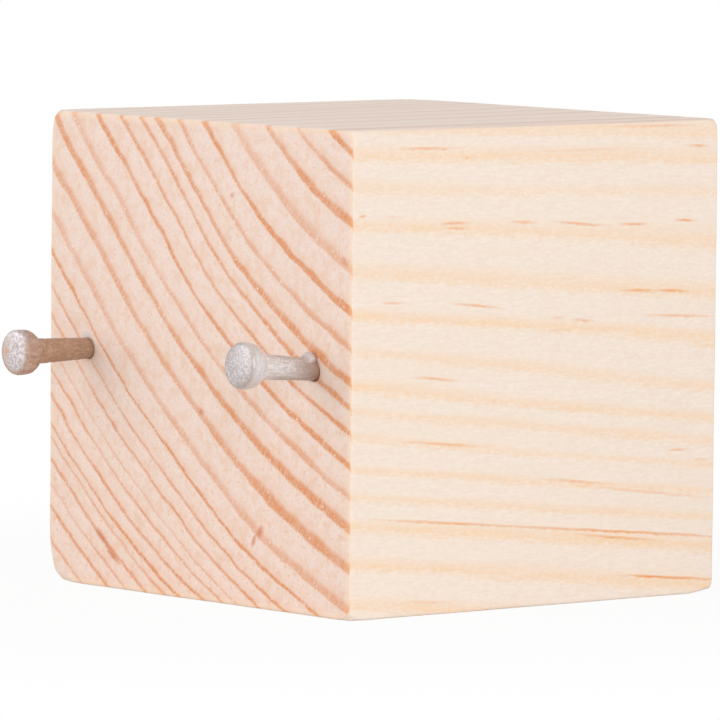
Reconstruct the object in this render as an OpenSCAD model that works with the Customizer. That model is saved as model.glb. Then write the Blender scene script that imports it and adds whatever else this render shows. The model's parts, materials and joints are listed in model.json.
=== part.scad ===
// Pine cube with two nail pegs.
// A sanded cube of softwood with two short galvanised nails driven into its end-grain face.
// The nails stand out far enough to hang a loop, a band or a wire on them.
// Millimetres. The origin is the centre of the underside, +Z is up, the nails point to -Y
// and the grain of the wood runs along Y.

/* [Block] */
// Length of every edge of the cube
cube_edge = 50; // [44:0.5:80]
// Radius sanded along the twelve edges
edge_radius = 0.35; // [0.1:0.05:0.8]
// Length that the sanding takes off each edge at a corner
corner_ease = 1.6; // [1.2:0.1:5]

/* [Nail] */
// Diameter of the shank under the head
neck_d = 2.65; // [2.2:0.01:3.2]
// Diameter of the shank from the wood's face to the point
root_d = 2.2; // [1.8:0.01:2.6]
// Diameter of the head
head_d = 4.75; // [4:0.05:7]
// Length of the cone under the head
head_cone_l = 1.2; // [0.5:0.1:2.5]
// Length of the head's straight side
head_side_l = 1.3; // [0.6:0.1:2.5]
// Radius of the rim round the head's face
head_rim_r = 0.3; // [0.2:0.05:0.8]
// Height that the dome of the face rises inside the rim
head_dome_h = 0.15; // [0.05:0.05:0.3]
// Length that is driven into the wood, with the point
driven_l = 20; // [12:0.5:30]
// Length of the point
point_l = 4; // [2:0.5:6]
// Room round the nail in its hole
nail_clearance = 0.01; // [0.005:0.005:0.05]

/* [Left nail] */
// Distance of the nail's axis from the left side of the cube
left_inset = 6.5; // [5:0.1:15]
// Height of the nail's axis above the underside
left_rise = 25.1; // [10:0.1:34]
// Length that stands out of the wood
left_standout = 9.9; // [6:0.1:16]
// Angle that the nail leans up
left_lean = -0.4; // [-6:0.1:6]

/* [Right nail] */
// Distance of the nail's axis from the right side of the cube
right_inset = 6.3; // [5:0.1:15]
// Height of the nail's axis above the underside
right_rise = 25.3; // [10:0.1:34]
// Length that stands out of the wood
right_standout = 9.9; // [6:0.1:16]
// Angle that the nail leans up
right_lean = 5.2; // [-6:0.1:6]
// Height of the burr of zinc on top of the shank
burr_h = 0.55; // [0.2:0.05:1]
// Length of the burr along the shank
burr_l = 1.7; // [0.8:0.1:3]
// Angle that the burr wraps round the shank
burr_wrap = 100; // [40:5:160]

/* [Hidden] */
$fn = 64;
half_edge = cube_edge / 2;
// A ball about the cube's centre that meets every edge at corner_ease from its end
ease_ball_r = sqrt(2 * half_edge ^ 2 + (half_edge - corner_ease) ^ 2);
head_l = head_cone_l + head_side_l + head_rim_r + head_dome_h;
// The dome is an arc through the middle of the face and the inner side of the rim
face_r = head_d / 2 - head_rim_r;
dome_r = (face_r ^ 2 + head_dome_h ^ 2) / (2 * head_dome_h);
left_x = left_inset - half_edge;
right_x = half_edge - right_inset;
// The burr starts where a leaning nail brings its crest clear of the wood
burr_crest_r = root_d / 2 + burr_h;
burr_start = nail_clearance + burr_crest_r * max(0, tan(right_lean));
// The burr is rooted halfway inside the shank
burr_root_r = root_d / 4;

// A square with round corners, centred, as a section of the cube
module sanded_section() {
    core = cube_edge - 2 * edge_radius;
    square([cube_edge, core], center = true);
    square([core, cube_edge], center = true);
    for (x = [-1, 1], y = [-1, 1])
        translate([x, y] * core / 2)
            circle(edge_radius);
}

module sanded_bar() {
    linear_extrude(cube_edge, center = true)
        sanded_section();
}

// The cube with all its edges and corners eased, standing on the origin
module sanded_cube() {
    translate([0, 0, half_edge])
        intersection() {
            sanded_bar();
            rotate([90, 0, 0])
                sanded_bar();
            rotate([0, 90, 0])
                sanded_bar();
            sphere(ease_ball_r);
        }
}

// Turns a nail that stands along Z into its place on the front face, pointing to -Y
module nail_place(x, rise, lean) {
    translate([x, -half_edge, rise])
        rotate([90 - lean, 0, 0])
            children();
}

// Half section of the nail from its point to the underside of its head, grown by the room of a hole
module shank_section(standout, room = 0) {
    polygon([
        [0, -driven_l - room],
        [root_d / 2 + room, point_l - driven_l],
        [root_d / 2 + room, 0],
        [neck_d / 2 + room, standout - head_l],
        [0, standout - head_l]
    ]);
}

// Half section of the head: cone, straight side, round rim and a low dome
module head_section() {
    polygon([
        [0, 0],
        [neck_d / 2, 0],
        [head_d / 2, head_cone_l],
        [0, head_cone_l]
    ]);
    translate([0, head_cone_l]) {
        square([head_d / 2, head_side_l]);
        square([face_r, head_side_l + head_rim_r]);
        translate([face_r, head_side_l])
            intersection() {
                circle(head_rim_r);
                square(head_rim_r);
            }
        intersection() {
            translate([0, head_side_l + head_rim_r + head_dome_h - dome_r])
                circle(dome_r, $fn = 256);
            square([face_r, head_l]);
        }
    }
}

module nail(standout) {
    rotate_extrude() {
        shank_section(standout);
        translate([0, standout - head_l])
            head_section();
    }
}

// The room that a driven nail takes up in the wood
module nail_hole(standout) {
    rotate_extrude()
        shank_section(standout, nail_clearance);
}

// A wedge of zinc scraped up along the top of the shank, highest at the wood
module burr() {
    translate([0, 0, burr_start])
        rotate([0, 0, 90 - burr_wrap / 2])
            rotate_extrude(angle = burr_wrap)
                polygon([
                    [burr_root_r, 0],
                    [burr_crest_r, 0],
                    [root_d / 2, burr_l],
                    [burr_root_r, burr_l]
                ]);
}

module wood_block() {
    color("#f0d9c4")
        difference() {
            sanded_cube();
            nail_place(left_x, left_rise, left_lean)
                nail_hole(left_standout);
            nail_place(right_x, right_rise, right_lean)
                nail_hole(right_standout);
        }
}

module left_nail() {
    color("#9a7b66")
        nail_place(left_x, left_rise, left_lean)
            nail(left_standout);
}

module right_nail() {
    color("#bdb8b3")
        nail_place(right_x, right_rise, right_lean) {
            nail(right_standout);
            burr();
        }
}

wood_block();
left_nail();
right_nail();
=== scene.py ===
import json
import math

import bpy
import numpy as np
from mathutils import Matrix, Vector


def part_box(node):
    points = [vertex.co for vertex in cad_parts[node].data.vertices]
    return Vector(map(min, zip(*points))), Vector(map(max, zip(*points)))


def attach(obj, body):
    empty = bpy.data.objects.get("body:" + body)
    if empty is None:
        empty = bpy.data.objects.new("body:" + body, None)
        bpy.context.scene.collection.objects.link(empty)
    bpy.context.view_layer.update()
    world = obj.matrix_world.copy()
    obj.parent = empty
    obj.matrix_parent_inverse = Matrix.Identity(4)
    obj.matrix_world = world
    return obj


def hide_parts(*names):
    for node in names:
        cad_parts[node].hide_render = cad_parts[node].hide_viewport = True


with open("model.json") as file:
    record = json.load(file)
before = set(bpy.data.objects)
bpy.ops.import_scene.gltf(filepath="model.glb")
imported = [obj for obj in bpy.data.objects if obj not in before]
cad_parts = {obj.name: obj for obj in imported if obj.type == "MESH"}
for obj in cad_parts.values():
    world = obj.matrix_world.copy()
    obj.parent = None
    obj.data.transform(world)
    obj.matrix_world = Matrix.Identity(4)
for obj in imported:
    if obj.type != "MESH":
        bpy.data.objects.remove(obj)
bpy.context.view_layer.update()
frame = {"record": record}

# The block: a cube of sawn and sanded pine with end grain at its front and back, cut from one board.
# Its edges are barely broken and its corners are rubbed round by hand, each a little differently.
# Two blind holes in the front, opened by driving the nails, go most of the way to the middle.
METRES = 0.001
FINE_STEP = 0.06
STEP_GROWTH = 1.3
FINE_STEPS = 9
COARSE_STEP = 0.5
WELD_DIGITS = 5
EDGE_RADIUS = 0.33
EDGE_VARIATION = 0.07
EDGE_WAVES = np.array([(0.31, 0.23, 0.27), (0.11, -0.19, 0.15)])
CORNER_RADII = {
    (-1, -1, -1): 1.9, (1, -1, -1): 0.9, (-1, 1, -1): 1.4, (1, 1, -1): 0.5,
    (-1, -1, 1): 1.1, (1, -1, 1): 0.8, (-1, 1, 1): 1.5, (1, 1, 1): 0.7,
}
CORNER_REACH = 1.5
WORN_LENGTH = 3.4
WORN_HEIGHT = 0.45
WORN_SLOPE = 0.1
WORN_REACH = 4.0
DRIVEN_LENGTH = 20.0
POINT_LENGTH = 4.0
ROOT_RADIUS = 1.1
HOLE_ROOM = 0.01
PATCH_HALF = 2.5
PATCH_RINGS = 9
PATCH_CROWDING = 0.6
MOUTH_SINK = 0.05
MOUTH_ROLL = 6
MOUTH_DEPTH = 1.2
# How deep the rings of points lie that line a hole.
HOLE_DEPTHS = np.array([
    0.25, 0.6, MOUTH_DEPTH, 2.5, 5.0, 9.0, 13.0, DRIVEN_LENGTH - POINT_LENGTH, DRIVEN_LENGTH - 0.05,
])
# The mount on each nail's head, how far the mouth of its hole gapes, and at which angle.
HOLES = [("left_nail_head", 0.05, -60), ("right_nail_head", 0.22, -40)]

block_low, block_high = (np.array(corner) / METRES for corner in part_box("wood_block"))
block_centre = (block_low + block_high) / 2
half_edge = (block_high - block_low).max() / 2
front_y = block_low[1]


def nail_head(mount_name):
    """The middle of a nail's head and the way the nail points, from the mount there."""
    mount = next(row for row in frame["record"]["mounts"] if row["name"] == mount_name)
    return np.array(mount["pos_m"]) / METRES, np.array(mount["axis"])


def nail_axis(mount_name):
    """Where the line of a nail meets the front face, and the way the nail points."""
    head, direction = nail_head(mount_name)
    return head + direction * (front_y - head[1]) / direction[1], direction


def face_steps():
    """Places across a face from edge to edge: steps grow by a constant ratio, then stay even."""
    edge = np.concatenate([[0.0], np.cumsum(FINE_STEP * STEP_GROWTH ** np.arange(FINE_STEPS))])
    inner = half_edge - edge[-1]
    count = round(2 * inner / COARSE_STEP) + 1
    return np.concatenate([
        edge[:-1] - half_edge,
        np.linspace(-inner, inner, count),
        half_edge - edge[:-1][::-1],
    ])


def eased(points):
    """Rounds a cube about the origin: a point is drawn to a core that lies one radius inside, then pushed
    out again by that radius. The radius grows near a corner as a bell of the distance from it. The underside
    then rises in a shallow plane towards its back right corner, which is worn."""
    first_wave, second_wave = EDGE_WAVES
    wave = np.sin(points @ first_wave) * np.sin(points @ second_wave + 1)
    radius = EDGE_RADIUS + EDGE_VARIATION * wave
    for signs, corner_radius in CORNER_RADII.items():
        distance = np.linalg.norm(points - half_edge * np.array(signs), axis=-1)
        bell = np.exp(-(distance / (CORNER_REACH * corner_radius)) ** 2)
        radius = radius + (corner_radius - EDGE_RADIUS) * bell
    radius = radius[..., None]
    core = np.clip(points, radius - half_edge, half_edge - radius)
    out = points - core
    skin = core + radius * out / np.linalg.norm(out, axis=-1, keepdims=True)
    from_right = half_edge - skin[..., 0]
    from_back = half_edge - skin[..., 1]
    from_base = half_edge + skin[..., 2]
    worn = WORN_HEIGHT * (1 - from_back / WORN_LENGTH) - WORN_SLOPE * from_right
    skin[..., 2] += np.clip(worn, 0, None) * np.clip(1 - from_base / WORN_REACH, 0, 1)
    return skin


def quads(rows, columns, start=0, closed=False):
    """Corner numbers of the quads of a grid of points, row after row; a closed grid joins its last column
    to its first."""
    number = start + np.arange(rows * columns).reshape(rows, columns)
    right = np.roll(number, -1, axis=1)
    cells = np.stack([number[:-1], right[:-1], right[1:], number[1:]], axis=-1)
    return cells if closed else cells[:, :-1]


def hole_patch(across, upward, base, direction, gape, gape_angle):
    """The front face round one nail, as rings of points: a square of the face's own points narrows to the
    mouth of the hole, and the hole runs on along the nail to its point. The mouth gapes towards one side."""
    path_x = np.concatenate([
        across[:-1], np.full(len(upward) - 1, across[-1]),
        across[:0:-1], np.full(len(upward) - 1, across[0]),
    ])
    path_z = np.concatenate([
        np.full(len(across) - 1, upward[0]), upward[:-1],
        np.full(len(across) - 1, upward[-1]), upward[:0:-1],
    ])
    square = np.stack([path_x, path_z + block_centre[2]], axis=-1)
    angle = np.arctan2(square[:, 1] - base[2], square[:, 0] - base[0])
    ray = np.stack([np.cos(angle), np.sin(angle)], axis=-1)
    full = ROOT_RADIUS + HOLE_ROOM
    mouth = full + gape * np.clip(np.cos(angle - math.radians(gape_angle)), 0, 1) ** 2
    circle = base[[0, 2]] + ray * mouth[:, None]
    share = np.linspace(0, 1, PATCH_RINGS)[:, None, None] ** PATCH_CROWDING
    face = (1 - share) * square + share * circle
    sink = MOUTH_SINK * share[..., 0] ** MOUTH_ROLL * np.ones(len(angle))
    face = np.stack([face[..., 0], front_y + sink, face[..., 1]], axis=-1)
    radius = np.interp(HOLE_DEPTHS, [0, DRIVEN_LENGTH - POINT_LENGTH, DRIVEN_LENGTH], [full, full, 0])
    closing = np.clip(1 - HOLE_DEPTHS / MOUTH_DEPTH, 0, 1)
    wide = radius[:, None] + closing[:, None] * (mouth - full)
    centre = base - direction * HOLE_DEPTHS[:, None]
    spread = np.stack([ray[:, 0], 0 * angle, ray[:, 1]], axis=-1)
    wall = centre[:, None, :] + wide[..., None] * spread
    return np.concatenate([face, wall])


def block():
    """The six faces of the cube as grids, with a patch round each nail let into the front."""
    steps = face_steps()
    size = len(steps)
    first, second = np.meshgrid(steps, steps, indexing="ij")
    points = []
    faces = []
    total = 0
    for axis in range(3):
        for sign in (-1, 1):
            grid = np.empty((size, size, 3))
            grid[..., axis] = sign * half_edge
            grid[..., (axis + 1) % 3] = first
            grid[..., (axis + 2) % 3] = second
            cells = quads(size, size, total)
            cells = cells[..., ::-1] if sign > 0 else cells
            keep = np.ones(cells.shape[:2], dtype=bool)
            points.append((eased(grid) + block_centre).reshape(-1, 3))
            total += size * size
            holes = HOLES if axis == 1 and sign < 0 else []
            for mount_name, gape, gape_angle in holes:
                base, direction = nail_axis(mount_name)
                column = np.flatnonzero(abs(steps - base[0]) <= PATCH_HALF)
                row = np.flatnonzero(abs(steps + block_centre[2] - base[2]) <= PATCH_HALF)
                keep[row[0]:row[-1], column[0]:column[-1]] = False
                patch = hole_patch(steps[column], steps[row], base, direction, gape, gape_angle)
                rings, sides = patch.shape[:2]
                points.append(patch.reshape(-1, 3))
                faces.append(quads(rings, sides, total, closed=True).reshape(-1, 4))
                total += rings * sides
                faces.append(np.arange(total - sides, total)[None])
            faces.append(cells[keep])
    return np.concatenate(points), faces


def add_piece(name, points, faces, material):
    """A mesh object in the model's frame, from points in millimetres and arrays of corner numbers with a row
    for each face. Points that fall on one place are made one, so that the grids join into a closed skin."""
    places, where = np.unique(np.round(points, WELD_DIGITS), axis=0, return_inverse=True)
    where = where.ravel()
    corners = [face for group in faces for face in where[group].tolist()]
    mesh = bpy.data.meshes.new(name)
    mesh.from_pydata((places * METRES).tolist(), [], corners)
    mesh.validate()
    mesh.polygons.foreach_set("use_smooth", np.ones(len(mesh.polygons), dtype=bool))
    mesh.materials.append(material)
    piece = bpy.data.objects.new(name, mesh)
    bpy.context.scene.collection.objects.link(piece)
    return piece


class Value:
    """One value in a material: an output socket of its nodes. Arithmetic on values adds Math nodes."""

    def __init__(self, finish, socket):
        self.finish = finish
        self.socket = socket

    def math(self, operation, *others):
        """A Math node on this value and any others."""
        return self.finish.node("ShaderNodeMath", {"operation": operation}, dict(enumerate([self, *others])))

    def __add__(self, other):
        return self.math("ADD", other)

    def __sub__(self, other):
        return self.math("SUBTRACT", other)

    def __rsub__(self, other):
        return self.finish.node("ShaderNodeMath", {"operation": "SUBTRACT"}, {0: other, 1: self})

    def __mul__(self, other):
        return self.math("MULTIPLY", other)

    def __truediv__(self, other):
        return self.math("DIVIDE", other)

    def __abs__(self):
        return self.math("ABSOLUTE")

    __radd__ = __add__
    __rmul__ = __mul__


class Finish:
    """A material, or the world, built node by node round its first shader."""

    def __init__(self, name, kind="materials", shader="Principled BSDF"):
        self.material = getattr(bpy.data, kind).new(name)
        self.material.use_nodes = True
        self.tree = self.material.node_tree
        self.shader = self.tree.nodes[shader]

    def node(self, kind, settings, sockets, out=0):
        """Adds a node: its settings are set first, then each socket takes a value or a link."""
        made = self.tree.nodes.new(kind)
        for name, setting in settings.items():
            if name == "stops":
                ramp = made.color_ramp
                ramp.interpolation = "CONSTANT"
                while len(ramp.elements) < len(setting):
                    ramp.elements.new(1.0)
                for element, (place, colour) in zip(ramp.elements, setting):
                    element.position = place
                    element.color = colour
            elif name == "curve":
                curve = made.mapping.curves[0]
                while len(curve.points) < len(setting):
                    curve.points.new(0.5, 0.5)
                for point, place in zip(curve.points, setting):
                    point.location = place
                    point.handle_type = "VECTOR"
                made.mapping.update()
            else:
                setattr(made, name, setting)
        for name, value in sockets.items():
            self.feed(made.inputs[name], value)
        return Value(self, made.outputs[out])

    def feed(self, socket, value):
        """Links a value to a socket, or sets a plain number or colour on it."""
        if isinstance(value, Value):
            self.tree.links.new(value.socket, socket)
        else:
            socket.default_value = value

    def set(self, **sockets):
        """Feeds sockets of the shader, named with underscores for spaces."""
        for name, value in sockets.items():
            self.feed(self.shader.inputs[name.replace("_", " ")], value)

    def mix(self, factor, first, second):
        """One colour turning into another as the factor goes from 0 to 1."""
        settings = {"data_type": "RGBA", "clamp_factor": True}
        return self.node("ShaderNodeMix", settings, {0: factor, 6: first, 7: second}, 2)

    def rise(self, value, low, high, top=1.0):
        """A smooth step from 0 at low to top at high."""
        settings = {"interpolation_type": "SMOOTHSTEP", "clamp": True}
        sockets = {"Value": value, "From Min": low, "From Max": high, "To Max": top}
        return self.node("ShaderNodeMapRange", settings, sockets)

    def fall(self, value, low, high, top=1.0):
        """A smooth step from top at low to 0 at high."""
        settings = {"interpolation_type": "SMOOTHSTEP", "clamp": True}
        sockets = {"Value": value, "From Min": low, "From Max": high, "To Min": top, "To Max": 0.0}
        return self.node("ShaderNodeMapRange", settings, sockets)

    def stretch(self, vector, factors):
        """A vector times a factor for each axis; a factor under 1 draws a pattern out along that axis."""
        return self.node("ShaderNodeVectorMath", {"operation": "MULTIPLY"}, {0: vector, 1: factors})

    def point(self, x, y, z):
        """A vector made of three values."""
        return self.node("ShaderNodeCombineXYZ", {}, {0: x, 1: y, 2: z})

    def parts(self, vector):
        """The three values that a vector or a colour is made of."""
        made = self.node("ShaderNodeSeparateXYZ", {}, {0: vector})
        return [Value(self, socket) for socket in made.socket.node.outputs]

    def noise(self, vector, scale, detail=2.0, roughness=0.5):
        """A soft random pattern about 0.5, with so many blobs to a unit of the vector."""
        sockets = {"Vector": vector, "Scale": scale, "Detail": detail, "Roughness": roughness}
        return self.node("ShaderNodeTexNoise", {}, sockets)

    def oval(self, place, centre, half, turn=0.0):
        """Distance from a centre, counted in half widths of an oval turned in the plane of x and y."""
        sockets = {
            "Vector": place, "Location": (*centre, 0.0),
            "Rotation": (0.0, 0.0, turn), "Scale": (*half, 1.0),
        }
        near = self.node("ShaderNodeMapping", {"vector_type": "TEXTURE"}, sockets)
        return self.node("ShaderNodeVectorMath", {"operation": "LENGTH"}, {0: near}, "Value")

    def bump(self, height, depth):
        """A fine relief that only the light sees, as deep as given in millimetres."""
        self.set(Normal=self.node("ShaderNodeBump", {}, {"Height": height, "Distance": depth * METRES}))


def paint(red, green, blue):
    """A colour as it is seen on a screen, 0 to 255 each, as the linear colour that a shader takes."""
    seen = np.array([red, green, blue]) / 255
    linear = np.where(seen <= 0.04045, seen / 12.92, ((seen + 0.055) / 1.055) ** 2.4)
    return (*linear.tolist(), 1.0)


# Growth rings, from the one nearest the pith outwards, as they lie on the front face: the radius of a ring's
# outer edge along three rays from the pith, the width of its dark late wood, and how dark that is.
RINGS = [
    (69.55, 69.65, 69.8, 0.7, 0.6), (71.2, 72.3, 72.6, 0.8, 0.95), (74.4, 75.45, 76.0, 0.75, 0.65),
    (77.9, 78.85, 79.0, 1.0, 0.85), (82.2, 82.9, 82.75, 1.35, 0.5), (85.9, 86.6, 86.3, 0.75, 1.0),
    (89.35, 89.75, 89.45, 0.75, 0.6), (92.5, 92.7, 92.0, 0.88, 0.82), (94.65, 94.6, 93.85, 0.56, 0.8),
    (97.0, 97.1, 96.35, 0.53, 0.8), (100.0, 100.1, 99.35, 0.6, 0.98), (102.85, 102.95, 102.7, 0.8, 0.55),
    (106.05, 105.65, 105.4, 0.9, 0.85), (109.9, 109.05, 108.75, 1.0, 0.72),
    (113.7, 112.75, 112.5, 1.0, 0.52), (116.25, 115.4, 115.1, 0.42, 0.95),
    (118.45, 117.85, 117.45, 0.42, 0.75), (120.3, 119.8, 119.55, 0.42, 0.8),
    (121.95, 121.85, 121.85, 0.36, 0.55), (123.1, 123.5, 123.45, 0.42, 0.8),
    (124.7, 125.55, 125.5, 0.5, 0.82), (126.5, 127.5, 127.65, 0.52, 0.98),
    (127.6, 128.4, 128.6, 0.36, 0.65), (129.3, 130.1, 130.4, 0.5, 0.82),
    (131.4, 131.9, 132.2, 0.36, 0.65), (133.3, 133.75, 134.3, 0.55, 0.9),
    (136.0, 136.35, 137.0, 0.48, 0.82), (140.0, 140.3, 141.0, 0.55, 0.8),
]
RAYS = (28.0, 38.0, 48.0)
PITH_X = 65.0
PITH_Z = 107.0
FIRST_RADIUS = 64.0
RADIUS_SPAN = 78.0
WIDEST_RING = 5.0

# Resin marks on the end grain: angle about the pith, radius, half angle, half height and how dark they are.
RESIN_SPOTS = [
    (28.8, 113.0, 0.26, 0.8, 0.7), (28.95, 114.3, 0.12, 0.8, 0.7), (37.35, 130.1, 0.7, 0.42, 0.85),
    (38.5, 129.9, 0.8, 0.45, 0.8), (42.65, 87.7, 0.2, 0.35, 0.6), (36.4, 108.4, 0.25, 0.45, 0.6),
    (30.4, 81.6, 0.5, 0.45, 0.4), (41.2, 119.4, 0.3, 0.45, 0.4),
]
# Cut resin canals on the right side: from and to along the grain, height at both ends, and how dark they are.
RESIN_STREAKS = [
    (9.0, 21.0, 49.6, 49.4, 0.5), (-18.8, -11.3, 48.0, 47.9, 0.7), (-10.2, -9.4, 46.8, 46.8, 0.6),
    (0.0, 14.0, 47.3, 47.2, 0.25), (20.6, 23.5, 47.3, 47.2, 0.7), (-24.2, -23.1, 41.3, 41.3, 0.7),
    (-20.8, -18.3, 41.1, 41.0, 0.25), (-13.1, -9.6, 40.2, 40.2, 0.75), (-12.5, -9.6, 39.7, 39.6, 0.65),
    (-3.8, -0.4, 40.1, 39.9, 0.7), (2.7, 9.0, 39.85, 39.3, 0.8), (11.2, 15.0, 39.35, 39.25, 0.9),
    (19.2, 21.9, 39.55, 39.4, 0.9), (-21.0, -18.1, 32.4, 32.2, 0.6), (-11.2, -5.2, 31.9, 31.25, 0.75),
    (11.7, 16.2, 32.45, 32.2, 0.9), (16.6, 20.8, 32.25, 32.0, 1.0), (4.6, 7.6, 29.65, 29.45, 0.65),
    (15.0, 24.6, 29.75, 29.2, 0.65), (1.7, 4.8, 28.65, 28.5, 0.3), (-16.7, -10.8, 24.6, 24.0, 0.7),
    (-17.5, -8.0, 18.0, 17.1, 0.6), (18.3, 21.2, 15.4, 15.35, 0.6), (22.0, 24.0, 14.2, 14.1, 0.3),
    (1.2, 10.0, 13.2, 12.3, 0.6), (-21.0, -3.0, 10.2, 8.52, 0.85), (6.0, 16.8, 7.15, 5.95, 0.8),
    (-5.0, 14.0, 8.7, 6.93, 0.7), (6.0, 28.0, 7.68, 5.62, 0.8), (12.5, 26.5, 2.5, 1.2, 1.0),
    (-18.0, -11.0, 1.6, 1.1, 0.3), (6.0, 25.0, 12.3, 9.95, 0.4),
    (13.5, 17.5, 2.4, 2.05, 0.5), (1.6, 3.8, 30.0, 29.9, 0.35),
]
STREAK_HALF = 0.22
STREAK_STRETCH = 1.3
# How squarely the wood faces an axis where that side's look begins, and where it is whole.
FACING = (0.4, 0.9)

# Colours of the sawn ends, of the planed sides and of the top.
EARLY_WOOD = paint(246, 224, 212)
EARLY_SHADE = paint(236, 212, 199)
EARLY_CLOUD = paint(236, 201, 177)
TURNING_WOOD = paint(234, 190, 158)
LATE_WOOD = paint(224, 147, 95)
SANDED_EARLY = paint(248, 221, 193)
SANDED_LATE = paint(236, 158, 98)
CANAL_DOT = paint(250, 236, 226)
END_RESIN = paint(211, 126, 82)
ZINC_SMEAR = paint(221, 211, 206)
SIDE_WOOD = paint(250, 235, 222)
SIDE_SHADE = paint(244, 226, 210)
SIDE_CLOUD = paint(247, 225, 204)
SIDE_BAND = paint(251, 210, 162)
SIDE_RESIN = paint(240, 163, 90)
TOP_WOOD = paint(251, 233, 221)
# The top's bands: late wood with painted shade of its relief.
TOP_BAND_AND_SHADE = paint(226, 192, 170)
TOP_FIBRE = paint(230, 206, 191)


def growth(finish, x, y, z, side):
    """The growth rings at a point of the wood. The ring's number comes from three curves of the distance from
    the pith, one for each ray, blended by the angle about the pith; its whole part looks up the ring's late
    wood and its fraction gives the depth inside the ring's outer edge. The rings drift outwards along the
    grain, and on the left and right sides they come out a little lower than at the ends."""
    to_pith_x = PITH_X - x
    to_pith_z = PITH_Z - z
    radius = (to_pith_x * to_pith_x + to_pith_z * to_pith_z).math("SQRT")
    angle = to_pith_x.math("ARCTAN2", to_pith_z) * math.degrees(1)
    along = (y + half_edge) / (2 * half_edge)
    drift = 1.5 + finish.rise(radius, 76.0, 83.0, 2.0) + finish.rise(radius, 87.0, 94.0, 1.5)
    slow = finish.noise(finish.point(x * 0.2, y * 0.012, z * 0.2), 1.0, 1.0)
    quick = finish.noise(finish.point(x * 0.7, y * 0.03, z * 0.7), 1.0, 2.0)
    wander = (slow - 0.5) * 0.6 + (quick - 0.5) * 0.45
    lower = side * (finish.rise(z, 3.0, 18.0, 0.95) - 0.45)
    depth = radius - finish.rise(angle, 49.0, 57.0, 1.25) - drift * along + wander - lower
    reach = (depth - FIRST_RADIUS) / RADIUS_SPAN
    count = len(RINGS)
    numbers = []
    for ray in range(len(RAYS)):
        curve = [(0.0, 0.0)]
        curve += [((row[ray] - FIRST_RADIUS) / RADIUS_SPAN, (n + 1) / count) for n, row in enumerate(RINGS)]
        numbers.append(finish.node("ShaderNodeFloatCurve", {"curve": curve}, {"Value": reach}))
    low, middle, high = numbers
    share = low + (middle - low) * finish.rise(angle, RAYS[0], RAYS[1])
    share = share + (high - middle) * finish.rise(angle, RAYS[1], RAYS[2])
    number = share * count
    ring = number.math("FLOOR")
    starts = [FIRST_RADIUS] + [row[1] for row in RINGS]
    stops = []
    for n, (start, (_, edge, _, width, dark)) in enumerate(zip(starts, RINGS)):
        stops.append((n / count, (dark, width / WIDEST_RING, (edge - start) / WIDEST_RING, 1.0)))
    looked_up = finish.node("ShaderNodeValToRGB", {"stops": stops}, {"Fac": (ring + 0.5) / count})
    dark, width, gap = finish.parts(looked_up)
    inside = (ring + 1 - number) * gap * WIDEST_RING
    vary = finish.noise(finish.point(angle * 0.35, ring * 7.3, y * 0.012), 1.0, 3.0)
    near_right = finish.fall(angle, 25.0, 43.0, 0.26)
    near_top = finish.rise(angle, 43.0, 53.0, 0.22)
    width = width * WIDEST_RING * (0.55 + vary * 0.7 + near_right) + near_top
    dark = dark * (0.4 + vary * 0.9 + near_right)
    return angle, radius, inside, width, dark


def end_grain(finish, place, rings, fine, mottle):
    """Colour of the sawn ends: pale early wood that deepens into orange late wood, crossed by thin pale rays,
    with pale dots where canals are cut, orange flecks, dark resin marks, and a smear of zinc over the left
    nail. The colours are paler and warmer in a rim along the sanded edges."""
    x, y, z = finish.parts(place)
    angle, radius, inside, width, dark = rings
    rays = finish.noise(finish.point(angle * 8.0, radius * 0.4, y * 0.02), 1.0, 2.0)
    ragged = inside + (rays - 0.5) * 0.22 + (fine - 0.5) * 0.52
    late = finish.fall(ragged, width * (0.3 + dark * 0.4), width * 1.12 + 0.12)
    late = late * finish.rise(inside + (fine - 0.5) * 0.2, 0.0, 0.26)
    late = (late * dark).math("MINIMUM", 0.92) * (1 - finish.rise(rays, 0.5, 0.75, 0.45))
    late = late * (0.76 + finish.rise(fine, 0.36, 0.64, 0.42))
    to_edge = abs(x).math("MAXIMUM", abs(z - half_edge))
    rim = finish.rise(to_edge, half_edge - 1.0, half_edge - 0.15)
    turning = finish.fall(inside, width, width + 1.3, 0.4) * dark
    flecks = finish.noise(finish.stretch(place, (1.0, 0.05, 1.0)), 1.6, 3.0, 0.65)
    flecks = finish.rise(flecks, 0.53, 0.68, 0.55) * (1 + finish.fall(z, 4.0, 22.0, 0.5))
    colour = finish.mix(finish.rise(fine, 0.25, 0.75), EARLY_WOOD, EARLY_SHADE)
    colour = finish.mix(finish.rise(mottle, 0.44, 0.68, 0.6), colour, EARLY_CLOUD)
    colour = finish.mix(turning.math("MAXIMUM", flecks), colour, TURNING_WOOD)
    colour = finish.mix(rim * 0.5, colour, SANDED_EARLY)
    colour = finish.mix(late, colour, finish.mix(rim, LATE_WOOD, SANDED_LATE))
    cut = finish.stretch(place, (1.0, 0.02, 1.0))
    canals = finish.node("ShaderNodeTexVoronoi", {}, {"Vector": cut, "Scale": 0.9})
    canal = finish.fall(canals, 0.05, 0.15) * finish.fall(inside, width, width + 0.6, 0.7)
    colour = finish.mix(canal, colour, CANAL_DOT)
    about = finish.point(angle + (rays - 0.5) * 0.5, radius + (fine - 0.5) * 0.8, 0.0)
    resin = 0.0
    for at_angle, at_radius, half_angle, half_height, strength in RESIN_SPOTS:
        off = finish.oval(about, (at_angle, at_radius), (half_angle, half_height))
        resin = finish.fall(off, 0.2, 1.35, strength) + resin
    colour = finish.mix(resin, colour, END_RESIN)
    left_base, _ = nail_axis("left_nail_head")
    over_nail = (left_base[0] - 0.1, left_base[2] + ROOT_RADIUS + 0.25)
    smear = finish.oval(finish.point(x, z, 0.0), over_nail, (1.1, 0.5)) + (fine - 0.5) * 0.6
    return finish.mix(finish.fall(smear, 0.5, 1.1, 0.75), colour, ZINC_SMEAR)


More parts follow.
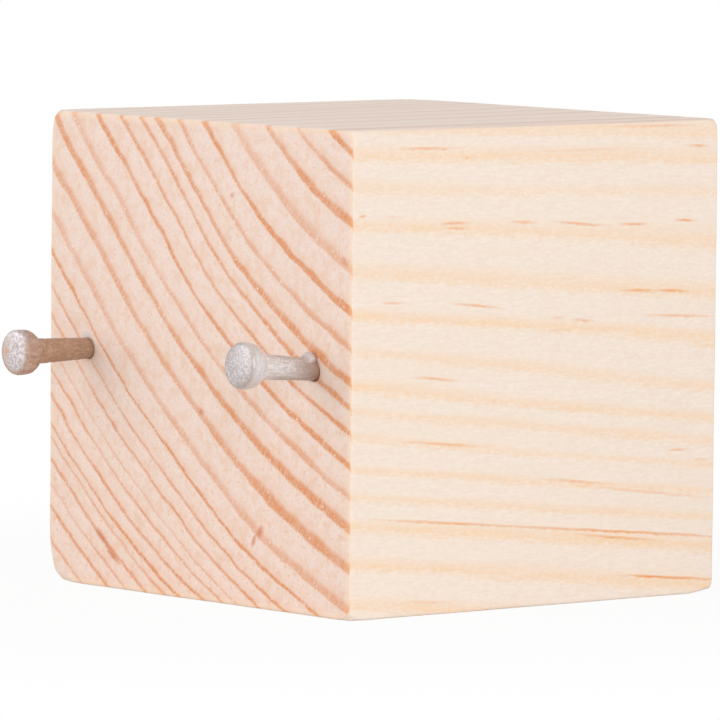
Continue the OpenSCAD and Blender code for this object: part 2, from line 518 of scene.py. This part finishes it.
def long_grain(finish, place, rings, fine, mottle, right, top):
    """Colour of the planed sides: cream with soft orange bands where late wood comes out, fine fibres, and
    thin dashes of resin where canals run along the face. The top shows greyer, browner bands, their late wood
    with painted shade of its relief, and no resin."""
    x, y, z = finish.parts(place)
    _, radius, inside, width, dark = rings
    fibre = finish.noise(finish.point(x * 4.0, y * 0.12, z * 4.0), 1.0, 3.0, 0.65)
    grain = finish.noise(finish.stretch(place, (1.0, 0.4, 1.0)), 3.2, 2.0, 0.7)
    frayed = inside + (fibre - 0.5) * 0.8 + (fine - 0.5) * 0.5 + (grain - 0.5) * 0.6
    wide = finish.fall(radius, 71.0, 77.0)
    band = finish.fall(frayed, width * 0.35, width * 1.25 + 0.55 + wide) * finish.rise(frayed, -0.1, 0.9)
    patchy = finish.noise(finish.point(x * 0.4, y * 0.11, z * 0.9), 1.0, 2.0)
    speckle = finish.rise(grain * 0.7 + fibre * 0.3, 0.38, 0.62, 0.8)
    warmth = 0.2 + dark * 0.28 + finish.rise(radius, 75.0, 95.0, 0.14) + wide * 0.05
    soft = band * warmth * (mottle * 0.4 + patchy * 0.9 + speckle)
    colour = finish.mix(finish.rise(fine * 0.5 + grain * 0.5, 0.35, 0.65), SIDE_WOOD, SIDE_SHADE)
    colour = finish.mix(finish.rise(mottle, 0.45, 0.75, 0.35), colour, SIDE_CLOUD)
    colour = finish.mix(soft, colour, SIDE_BAND)
    chance = finish.noise(finish.point(x * 2.6, y * 0.09, z * 2.6), 1.0, 0.0)
    elsewhere = finish.rise(chance, 0.76, 0.84, 0.6)
    bent = finish.noise(finish.point(y * 0.35, z * 0.5, 0.0), 1.0, 3.0)
    run = finish.point(y, z + (bent - 0.5) * 0.25 + (grain - 0.5) * 0.2, 0.0)
    streaks = 0.0
    for start, stop, low, high, strength in RESIN_STREAKS:
        turn = math.atan2(high - low, stop - start)
        half_run = STREAK_STRETCH * (stop - start) / 2
        off = finish.oval(run, ((start + stop) / 2, (low + high) / 2), (half_run, STREAK_HALF), turn)
        streaks = finish.fall(off, 0.0, 1.15, strength) + streaks
    streaks = elsewhere + (streaks - elsewhere) * right
    colour = finish.mix(streaks * (fibre * 0.9 + grain * 0.9 - 0.05), colour, SIDE_RESIN)
    # Painted shade: the top's bands are greyer and browner than on the sides, standing in for the shade on
    # the relief of the late wood.
    on_top = finish.mix(band * (0.3 + dark * 0.65), TOP_WOOD, TOP_BAND_AND_SHADE)
    on_top = finish.mix(finish.rise(fibre, 0.38, 0.64, 0.42), on_top, TOP_FIBRE)
    return finish.mix(top, colour, on_top)


def pine():
    """Solid pine: growth rings about a pith beyond the upper right corner, drawn along the grain, strong on
    the sawn ends and faint on the planed sides."""
    finish = Finish("sanded pine")
    place = finish.node("ShaderNodeTexCoord", {}, {}, "Object")
    place = finish.node("ShaderNodeVectorMath", {"operation": "SCALE"}, {0: place, "Scale": 1 / METRES})
    facing_x, facing_y, facing_z = finish.parts(finish.node("ShaderNodeNewGeometry", {}, {}, "Normal"))
    end = finish.rise(abs(facing_y), *FACING)
    side = finish.rise(abs(facing_x), *FACING)
    right = finish.rise(facing_x, *FACING)
    top = finish.rise(facing_z, *FACING)
    rings = growth(finish, *finish.parts(place), side)
    fine = finish.noise(finish.stretch(place, (1.0, 0.14, 1.0)), 4.5, 2.0, 0.7)
    mottle = finish.noise(finish.stretch(place, (1.0, 0.05, 1.0)), 0.7, 3.0, 0.6)
    ends = end_grain(finish, place, rings, fine, mottle)
    sides = long_grain(finish, place, rings, fine, mottle, right, top)
    finish.set(Base_Color=finish.mix(end, sides, ends), Roughness=0.6, Specular_IOR_Level=0.35)
    finish.bump(fine, 0.012)
    return finish.material


block_piece = add_piece("pine_block", *block(), pine())
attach(block_piece, "root")
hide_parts("wood_block")

# The left nail: a short galvanised nail with a round head, driven straight into the end grain.
# Its zinc has gone brown with tarnish on the shank and on the side of the head; the hammer has kept the face
# bright, apart from one rust spot.
NECK_RADIUS = 1.325
HEAD_RADIUS = 2.375
HEAD_SWELL = HEAD_RADIUS - NECK_RADIUS
HEAD_LENGTH = 2.95
HEAD_SIDE_MIDDLE = 1.1
# Half outline of the head, from just past the middle of its face to its neck: how far back, and the radius.
HEAD_OUTLINE = [
    (0.05, -1.2), (0.0, 0.0), (0.05, 1.2), (0.15, HEAD_RADIUS - 0.3), (0.25, HEAD_RADIUS - 0.09),
    (0.45, HEAD_RADIUS), (1.1, HEAD_RADIUS + 0.01), (1.75, HEAD_RADIUS - 0.05),
    (2.2, HEAD_RADIUS - HEAD_SWELL * 0.28), (2.62, HEAD_RADIUS - HEAD_SWELL * 0.66),
    (HEAD_LENGTH, NECK_RADIUS + 0.03), (HEAD_LENGTH + 0.5, NECK_RADIUS),
]
SMOOTH_END = -0.6
BURIED_RINGS = np.linspace(-2.0, POINT_LENGTH - DRIVEN_LENGTH, 6)
PROFILE_STEP = 0.05
BELL_OFFSETS = np.linspace(-2.5, 2.5, 21)
NAIL_SIDES = 144
LUMP_WAVES = 40
LUMP_RANGE = (0.7, 1.5)
LUMP_HEIGHT = 0.02
LUMP_LENGTH = 0.9
PIT_HEIGHT = 0.008
PIT_LENGTH = 0.35
FLUTE_HEIGHT = 0.008
FLUTE_LENGTH = 0.5
FLUTE_STRETCH = (1.0, 0.1, 1.0)
FADE_LENGTH = 0.4
FACE_DEPTH = 0.5
FACE_RADIUS = 0.8
BURR_PLACE = 0.5
BURR_SPREAD = 0.62
BURR_START = 0.15
BURR_HALF_ANGLE = 48.0
BURR_ROUNDING = 0.6
LEFT_SEED = 11
LEFT_RUBBED = 0.08
RUST_X = -1.15
RUST_Z = 0.15

TARNISH_DARK = paint(158, 126, 104)
TARNISH_PALE = paint(195, 160, 136)
TARNISH_SPECK = paint(202, 172, 150)
SHANK_BLOTCH = paint(160, 132, 104)
HEAD_TARNISH = paint(197, 168, 151)
HEAD_GREY = paint(182, 168, 162)
HEAD_PIT = paint(150, 122, 104)
SCRAPE_DARK = paint(152, 121, 104)
SCRAPE_PALE = paint(214, 197, 189)
DIRT_AT_WOOD = paint(112, 90, 74)
FACE_DARK = paint(176, 164, 162)
FACE_PALE = paint(219, 211, 214)
FACE_WARM = paint(198, 174, 164)
RUST = paint(207, 152, 118)


def nail_reach(mount_name):
    """How far a nail stands out of the wood: its mount lies in the middle of the head's straight side."""
    head, _ = nail_head(mount_name)
    base, _ = nail_axis(mount_name)
    return float(np.linalg.norm(head - base)) + HEAD_SIDE_MIDDLE


def nail_profile(reach, rubbed):
    """Half outline of a nail from the middle of its face to its point, as lengths along the axis and radii.
    Straight lines join the corners, and each place of the part outside the wood is the mean of its
    neighbourhood along the outline under a bell, which rubs the corners round."""
    corners = np.array([
        *((reach - back, radius) for back, radius in HEAD_OUTLINE),
        (0.0, ROOT_RADIUS), (SMOOTH_END, ROOT_RADIUS),
        (POINT_LENGTH - DRIVEN_LENGTH, ROOT_RADIUS), (-DRIVEN_LENGTH, 0.0),
    ])
    run = np.concatenate([[0.0], np.cumsum(np.linalg.norm(np.diff(corners, axis=0), axis=1))])
    run -= run[1]
    places = np.arange(0.0, run[-3], PROFILE_STEP)
    weights = np.exp(-BELL_OFFSETS ** 2 / 2)
    weights /= weights.sum()
    near = places[:, None] + BELL_OFFSETS * rubbed
    out = np.interp(near, run, corners[:, 0]) @ weights
    radius = np.interp(near, run, corners[:, 1]) @ weights
    out = np.concatenate([out, BURIED_RINGS, [-DRIVEN_LENGTH]])
    radius = np.concatenate([radius, np.full(len(BURIED_RINGS), ROOT_RADIUS), [0.0]])
    radius[0] = 0.0
    return out, radius


def lumps(points, length, seed):
    """A gentle random relief between about -1 and 1: plane waves of about one wave length, all ways."""
    draw = np.random.default_rng(seed)
    ways = draw.normal(size=(LUMP_WAVES, 3))
    ways /= np.linalg.norm(ways, axis=1, keepdims=True)
    ways *= 2 * np.pi / (length * draw.uniform(*LUMP_RANGE, size=(LUMP_WAVES, 1)))
    turns = draw.uniform(0, 2 * np.pi, LUMP_WAVES)
    return np.sin(points @ ways.T + turns).sum(axis=-1) * math.sqrt(2 / LUMP_WAVES) / 2


def nail(mount_name, seed, rubbed, burr_height=0.0):
    """A nail: its half outline turned about its axis, roughened by lumps that fade at the wood. A burr, where
    there is one, lifts the top of the shank as a bell along the shank and an arch from side to side."""
    base, direction = nail_axis(mount_name)
    out, radius = nail_profile(nail_reach(mount_name), rubbed)
    angle = np.linspace(0, 2 * np.pi, NAIL_SIDES, endpoint=False)
    across = np.array([1.0, 0.0, 0.0])
    up = np.cross(direction, across)
    spread = np.cos(angle)[:, None] * across + np.sin(angle)[:, None] * up
    skin = out[:, None, None] * direction + radius[:, None, None] * spread
    outside = np.clip(out / FADE_LENGTH, 0, 1)[:, None]
    rough = LUMP_HEIGHT * lumps(skin, LUMP_LENGTH, seed) + PIT_HEIGHT * lumps(skin, PIT_LENGTH, seed + 1)
    flutes = FLUTE_HEIGHT * lumps(skin * FLUTE_STRETCH, FLUTE_LENGTH, seed + 2)
    from_top = (np.degrees(angle) - 90.0) / BURR_HALF_ANGLE
    clear = HOLE_ROOM + (ROOT_RADIUS + burr_height) * max(0.0, direction[2] / -direction[1])
    lift = np.exp(-((out - BURR_PLACE) / BURR_SPREAD) ** 2) * np.clip((out - clear) / BURR_START, 0, 1)
    burr = burr_height * lift[:, None] * np.clip(1 - from_top ** 2, 0, 1) ** BURR_ROUNDING
    taper = np.clip(radius / FACE_RADIUS, 0, 1)[:, None]
    push = (rough + flutes) * outside * taper + burr
    face = np.clip((out - out[0] + FACE_DEPTH) / FADE_LENGTH, 0, 1)[:, None] * outside * (1 - taper)
    skin = skin + push[..., None] * spread + (face * rough)[..., None] * direction + base
    rows = len(out)
    points = skin.reshape(-1, 3)
    number = np.arange(rows * NAIL_SIDES).reshape(rows, NAIL_SIDES)
    after = np.roll(number, -1, axis=1)
    points[number[0]] = skin[0].mean(axis=0)
    points[number[-1]] = skin[-1].mean(axis=0)
    wall = quads(rows, NAIL_SIDES, closed=True)[1:-1, :, ::-1].reshape(-1, 4)
    face_fan = np.stack([number[1], after[1], number[0]], axis=-1)
    point_fan = np.stack([number[-1], after[-2], number[-2]], axis=-1)
    return points, [wall, face_fan, point_fan]


def nail_place(finish, mount_name):
    """Places on a nail in millimetres from where it enters the wood: the place itself, the distance out of
    the wood and from the axis, and how far across and up."""
    base, direction = nail_axis(mount_name)
    place = finish.node("ShaderNodeTexCoord", {}, {}, "Object")
    sockets = {
        "Vector": place, "Location": tuple(base * METRES),
        "Rotation": (-math.asin(direction[2]), 0.0, 0.0), "Scale": (METRES, METRES, METRES),
    }
    place = finish.node("ShaderNodeMapping", {"vector_type": "TEXTURE"}, sockets)
    x, y, z = finish.parts(place)
    return place, y * -1.0, (x * x + z * z).math("SQRT"), x, z


def tarnished_zinc(mount_name):
    """Brown tarnish with fine streaks along the shank and scrapes on the side of the head, round a bright
    spangled face that runs over the top edge and has a rust spot."""
    finish = Finish("tarnished zinc")
    place, out, radius, x, z = nail_place(finish, mount_name)
    reach = nail_reach(mount_name)
    streak = finish.noise(finish.stretch(place, (1.0, 0.22, 1.0)), 5.0, 3.0, 0.65)
    speck = finish.noise(place, 5.0, 3.0, 0.7)
    cloud = finish.noise(place, 0.8, 2.0)
    tone = streak * 0.45 + speck * 0.35 + cloud * 0.2
    brown = finish.mix(finish.rise(tone, 0.35, 0.65), TARNISH_DARK, TARNISH_PALE)
    brown = finish.mix(finish.rise(speck, 0.5, 0.75, 0.5), brown, TARNISH_SPECK)
    head = finish.rise(out, reach - 3.6, reach - 2.2)
    brown = finish.mix(head * 0.5, brown, HEAD_TARNISH)
    grey = finish.rise(cloud * 1.2 + speck * 0.5 + z * 0.12, 0.8, 1.15, 0.75)
    brown = finish.mix(grey * head, brown, HEAD_GREY)
    brown = finish.mix(finish.fall(speck, 0.3, 0.42, 0.5) * head, brown, HEAD_PIT)
    scrape = finish.noise(finish.stretch(place, (1.0, 0.3, 1.0)), 2.4, 3.0, 0.65)
    brown = finish.mix(finish.rise(scrape, 0.52, 0.64, 0.6) * head, brown, SCRAPE_DARK)
    brown = finish.mix(finish.fall(scrape, 0.36, 0.46, 0.5) * head, brown, SCRAPE_PALE)
    blotch = finish.noise(finish.stretch(place, (1.0, 0.6, 1.0)), 1.3, 3.0, 0.65)
    brown = finish.mix(finish.rise(blotch, 0.46, 0.6, 0.45) * (1 - head), brown, SHANK_BLOTCH)
    brown = finish.mix(finish.fall(out, 0.1, 0.6, 0.3), brown, DIRT_AT_WOOD)
    spangle = finish.node("ShaderNodeTexVoronoi", {}, {"Vector": place, "Scale": 5.5}, "Color")
    bright = finish.parts(spangle)[0] * 0.6 + speck * 0.7
    silver = finish.mix(finish.rise(bright, 0.4, 1.0), FACE_DARK, FACE_PALE)
    silver = finish.mix(finish.fall(x + (cloud - 0.5) * 2.0, -1.8, -0.2, 0.65), silver, FACE_WARM)
    rust_x = x - RUST_X
    rust_z = z - RUST_Z
    from_rust = (rust_x * rust_x + rust_z * rust_z).math("SQRT") + (speck - 0.5) * 0.5
    silver = finish.mix(finish.fall(from_rust, 0.15, 0.5, 0.8), silver, RUST)
    over_top = finish.rise(z, 0.5, 2.1, 0.5)
    worn = radius - over_top + (speck - 0.5) * 0.7
    face = finish.rise(out + over_top, reach - 0.42, reach - 0.3) * finish.fall(worn, 1.7, 2.15)
    finish.set(Base_Color=finish.mix(face, brown, silver))
    finish.set(Metallic=0.35 + face * 0.25, Roughness=0.62 - face * 0.17)
    finish.bump(speck * 0.6 + streak * 0.4, 0.01)
    return finish.material


left_mesh = nail("left_nail_head", LEFT_SEED, LEFT_RUBBED)
left_nail = add_piece("tarnished_nail", *left_mesh, tarnished_zinc("left_nail_head"))
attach(left_nail, "root")
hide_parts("left_nail")

# The right nail: the same kind of nail, driven leaning up a little, with its zinc still pale and spangled.
# Driving it through a tight hole has scraped up a burr of zinc on top of its shank, next to the wood.
RIGHT_SEED = 23
RIGHT_RUBBED = 0.17
BURR_HEIGHT = 0.72

CRYSTAL_DARK = paint(168, 159, 158)
CRYSTAL_PALE = paint(212, 207, 208)
HEAD_SIDE_DARK = paint(207, 200, 198)
HEAD_SIDE_PALE = paint(234, 229, 230)
SCRATCH_DARK = paint(194, 185, 181)
SCRATCH_PALE = paint(237, 233, 234)
RIM_DIRT = paint(186, 165, 150)
# A painted highlight for the neck of the right nail.
NECK_HIGHLIGHT = paint(250, 249, 252)
# Brown dirt at the wood, also used as painted shade on the top and the underside of the shank.
SHANK_DIRT_AND_SHADE = paint(154, 133, 120)
# A painted reflection of the wood's warm colour on the shank.
WOOD_REFLECTION_TINT = paint(186, 142, 110)
BURR_ZINC = paint(202, 191, 187)


def bright_zinc(mount_name):
    """Pale zinc with bright crystals on the face and dirt along part of its rim, a painted highlight on the
    neck, fine scratches along the shank, brown dirt at the wood, painted shade along the top and the
    underside of the shank, and a painted reflection of the wood's warm colour where the shank enters it."""
    finish = Finish("zinc")
    place, out, radius, x, z = nail_place(finish, mount_name)
    reach = nail_reach(mount_name)
    streak = finish.noise(finish.stretch(place, (1.0, 0.1, 1.0)), 6.5, 3.0, 0.65)
    speck = finish.noise(place, 4.5, 3.0, 0.7)
    spangle = finish.node("ShaderNodeTexVoronoi", {}, {"Vector": place, "Scale": 7.0}, "Color")
    bright = finish.parts(spangle)[0] * 0.5 + speck * 0.6 + x * 0.05 + x * z * 0.06 + 0.06
    crystals = finish.mix(finish.rise(bright, 0.35, 1.05), CRYSTAL_DARK, CRYSTAL_PALE)
    smooth = finish.mix(finish.rise(speck, 0.3, 0.8), HEAD_SIDE_DARK, HEAD_SIDE_PALE)
    scratches = streak * 0.55 + speck * 0.45
    scratched = finish.mix(finish.rise(scratches, 0.34, 0.66), SCRATCH_DARK, SCRATCH_PALE)
    face = finish.rise(out, reach - 0.5, reach - 0.3)
    shank = finish.fall(out, reach - 2.8, reach - 1.5)
    colour = finish.mix(face, smooth, crystals)
    colour = finish.mix(shank, colour, scratched)
    rim = finish.rise(out, reach - 0.9, reach - 0.5) * finish.rise(radius, 1.55, 1.95, 0.4)
    colour = finish.mix(rim * finish.rise(x - z * 0.6, -0.6, 1.4), colour, RIM_DIRT)
    # Painted highlight: streaks on the neck turn nearly white, standing in for light on the fillet under the
    # head.
    neck = finish.rise(out, reach - 3.5, reach - 2.8) * finish.fall(out, reach - 2.3, reach - 1.3, 0.55)
    colour = finish.mix(neck * scratches * 2.0, colour, NECK_HIGHLIGHT)
    burr = finish.rise(radius, ROOT_RADIUS + 0.05, ROOT_RADIUS + 0.6) * finish.fall(out, 1.6, 2.2)
    dirt_and_shade = finish.fall(out + (speck - 0.5) * 1.5, 0.0, 4.8, 0.85)
    dirt_and_shade = dirt_and_shade * (1 - finish.rise(z, 0.3, 1.2, 0.35))
    # Painted shade: away from the head, the top and the underside of the round shank are darkened, where it
    # turns away from the light.
    flank_shade = finish.rise(abs(z - 0.12), 0.6, 1.25, 0.54) * finish.fall(out, reach - 5.5, reach - 3.2)
    dirt_and_shade = dirt_and_shade.math("MAXIMUM", flank_shade) * (1 - burr)
    # One brown paints both the dirt at the wood and the painted shade on the shank's top and underside.
    colour = finish.mix(dirt_and_shade, colour, SHANK_DIRT_AND_SHADE)
    # Painted reflection: the shank is tinted warm brown where it enters the wood, standing in for the wood's
    # colour thrown into the shaded gap.
    colour = finish.mix(finish.fall(out, 0.1, 0.9, 0.5) * (1 - burr), colour, WOOD_REFLECTION_TINT)
    colour = finish.mix(burr, colour, BURR_ZINC)
    finish.set(Base_Color=colour, Metallic=0.55 - shank * 0.15, Roughness=0.5 + burr * 0.2)
    finish.bump(speck * 0.6 + streak * shank * 0.5, 0.012)
    return finish.material


right_mesh = nail("right_nail_head", RIGHT_SEED, RIGHT_RUBBED, BURR_HEIGHT)
right_nail = add_piece("zinc_nail", *right_mesh, bright_zinc("right_nail_head"))
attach(right_nail, "root")
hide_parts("right_nail")

# The floor and the light: a white table top and two large soft lamps, one at the left in front of the end
# grain and one at the right, in a white tent.
AIM_HEIGHT = 0.025
# Each lamp's name, place and size in metres, and power in watts.
LAMPS = [
    ("key lamp", (-0.47, -0.78, 0.3), 0.9, 3.85),
    ("fill lamp", (0.82, -0.26, 0.2), 0.8, 4.5),
]
WHITE = (1.0, 1.0, 1.0, 1.0)
TENT_LIGHT = 0.57
TABLE_TOP = (0.85, 0.85, 0.85, 1.0)
TABLE_HALF = 4.0
WHITE_NEAR = 0.93
NEAR_LIMITS = (0.04, 0.12)

for name, place, size, watts in LAMPS:
    lamp = bpy.data.objects.new(name, bpy.data.lights.new(name, "AREA"))
    lamp.data.size = size
    lamp.data.energy = watts
    lamp.location = place
    lamp.rotation_mode = "QUATERNION"
    lamp.rotation_quaternion = (Vector((0, 0, AIM_HEIGHT)) - lamp.location).to_track_quat("-Z", "Y")
    bpy.context.scene.collection.objects.link(lamp)


def seen_white(finish):
    """1 for a ray from the camera or off a shiny surface, 0 for any other."""
    path = finish.node("ShaderNodeLightPath", {}, {}, "Is Camera Ray")
    return path.math("MAXIMUM", Value(finish, path.socket.node.outputs["Is Glossy Ray"]))


tent = Finish("tent", "worlds", "Background")
tent.set(Color=WHITE, Strength=TENT_LIGHT + seen_white(tent) * (1 - TENT_LIGHT))
bpy.context.scene.world = tent.material

table = Finish("white table top")
table.set(Base_Color=TABLE_TOP, Roughness=0.9, Specular_IOR_Level=0.0)
from_middle = table.node("ShaderNodeTexCoord", {}, {}, "Object")
from_middle = table.node("ShaderNodeVectorMath", {"operation": "LENGTH"}, {0: from_middle}, "Value")
whiteness = seen_white(table) * (WHITE_NEAR + table.rise(from_middle, *NEAR_LIMITS, 1 - WHITE_NEAR))
glow = table.node("ShaderNodeEmission", {}, {"Color": WHITE, "Strength": 1.0})
body = Value(table, table.shader.outputs[0])
both = table.node("ShaderNodeMixShader", {}, {0: whiteness, 1: body, 2: glow})
table.feed(table.tree.nodes["Material Output"].inputs["Surface"], both)
table_corners = TABLE_HALF * np.array([(-1, -1, 0), (1, -1, 0), (1, 1, 0), (-1, 1, 0)])
floor_mesh = bpy.data.meshes.new("floor")
floor_mesh.from_pydata(table_corners.tolist(), [], [(0, 1, 2, 3)])
floor_mesh.materials.append(table.material)
floor = bpy.data.objects.new("floor", floor_mesh)
bpy.context.scene.collection.objects.link(floor)

# The camera: a long lens a little above the table, turned to show the end grain and the right side.
AZIMUTH = math.radians(50.13)
ELEVATION = math.radians(4.5)
ROLL = math.radians(0.535)
DISTANCE = 0.888
LENS = 420.0
SENSOR = 36.0
SIDE_OFFSET = -0.0023
UP_OFFSET = -0.00101
FAR_LIMIT = 50.0
back = np.array([
    math.sin(AZIMUTH) * math.cos(ELEVATION),
    -math.cos(AZIMUTH) * math.cos(ELEVATION),
    math.sin(ELEVATION),
])
level_right = np.array([math.cos(AZIMUTH), math.sin(AZIMUTH), 0.0])
level_up = np.cross(back, level_right)
right = math.cos(ROLL) * level_right + math.sin(ROLL) * level_up
up = math.cos(ROLL) * level_up - math.sin(ROLL) * level_right
eye = np.array([0, 0, AIM_HEIGHT]) + DISTANCE * back + SIDE_OFFSET * right + UP_OFFSET * up
camera = bpy.data.objects.new("camera", bpy.data.cameras.new("camera"))
camera.data.lens = LENS
camera.data.sensor_width = SENSOR
camera.data.clip_end = FAR_LIMIT
camera.matrix_world = Matrix([
    [right[0], up[0], back[0], eye[0]],
    [right[1], up[1], back[1], eye[1]],
    [right[2], up[2], back[2], eye[2]],
    [0, 0, 0, 1],
])
bpy.context.scene.collection.objects.link(camera)
bpy.context.scene.camera = camera
bpy.context.scene.view_settings.view_transform = "Standard"
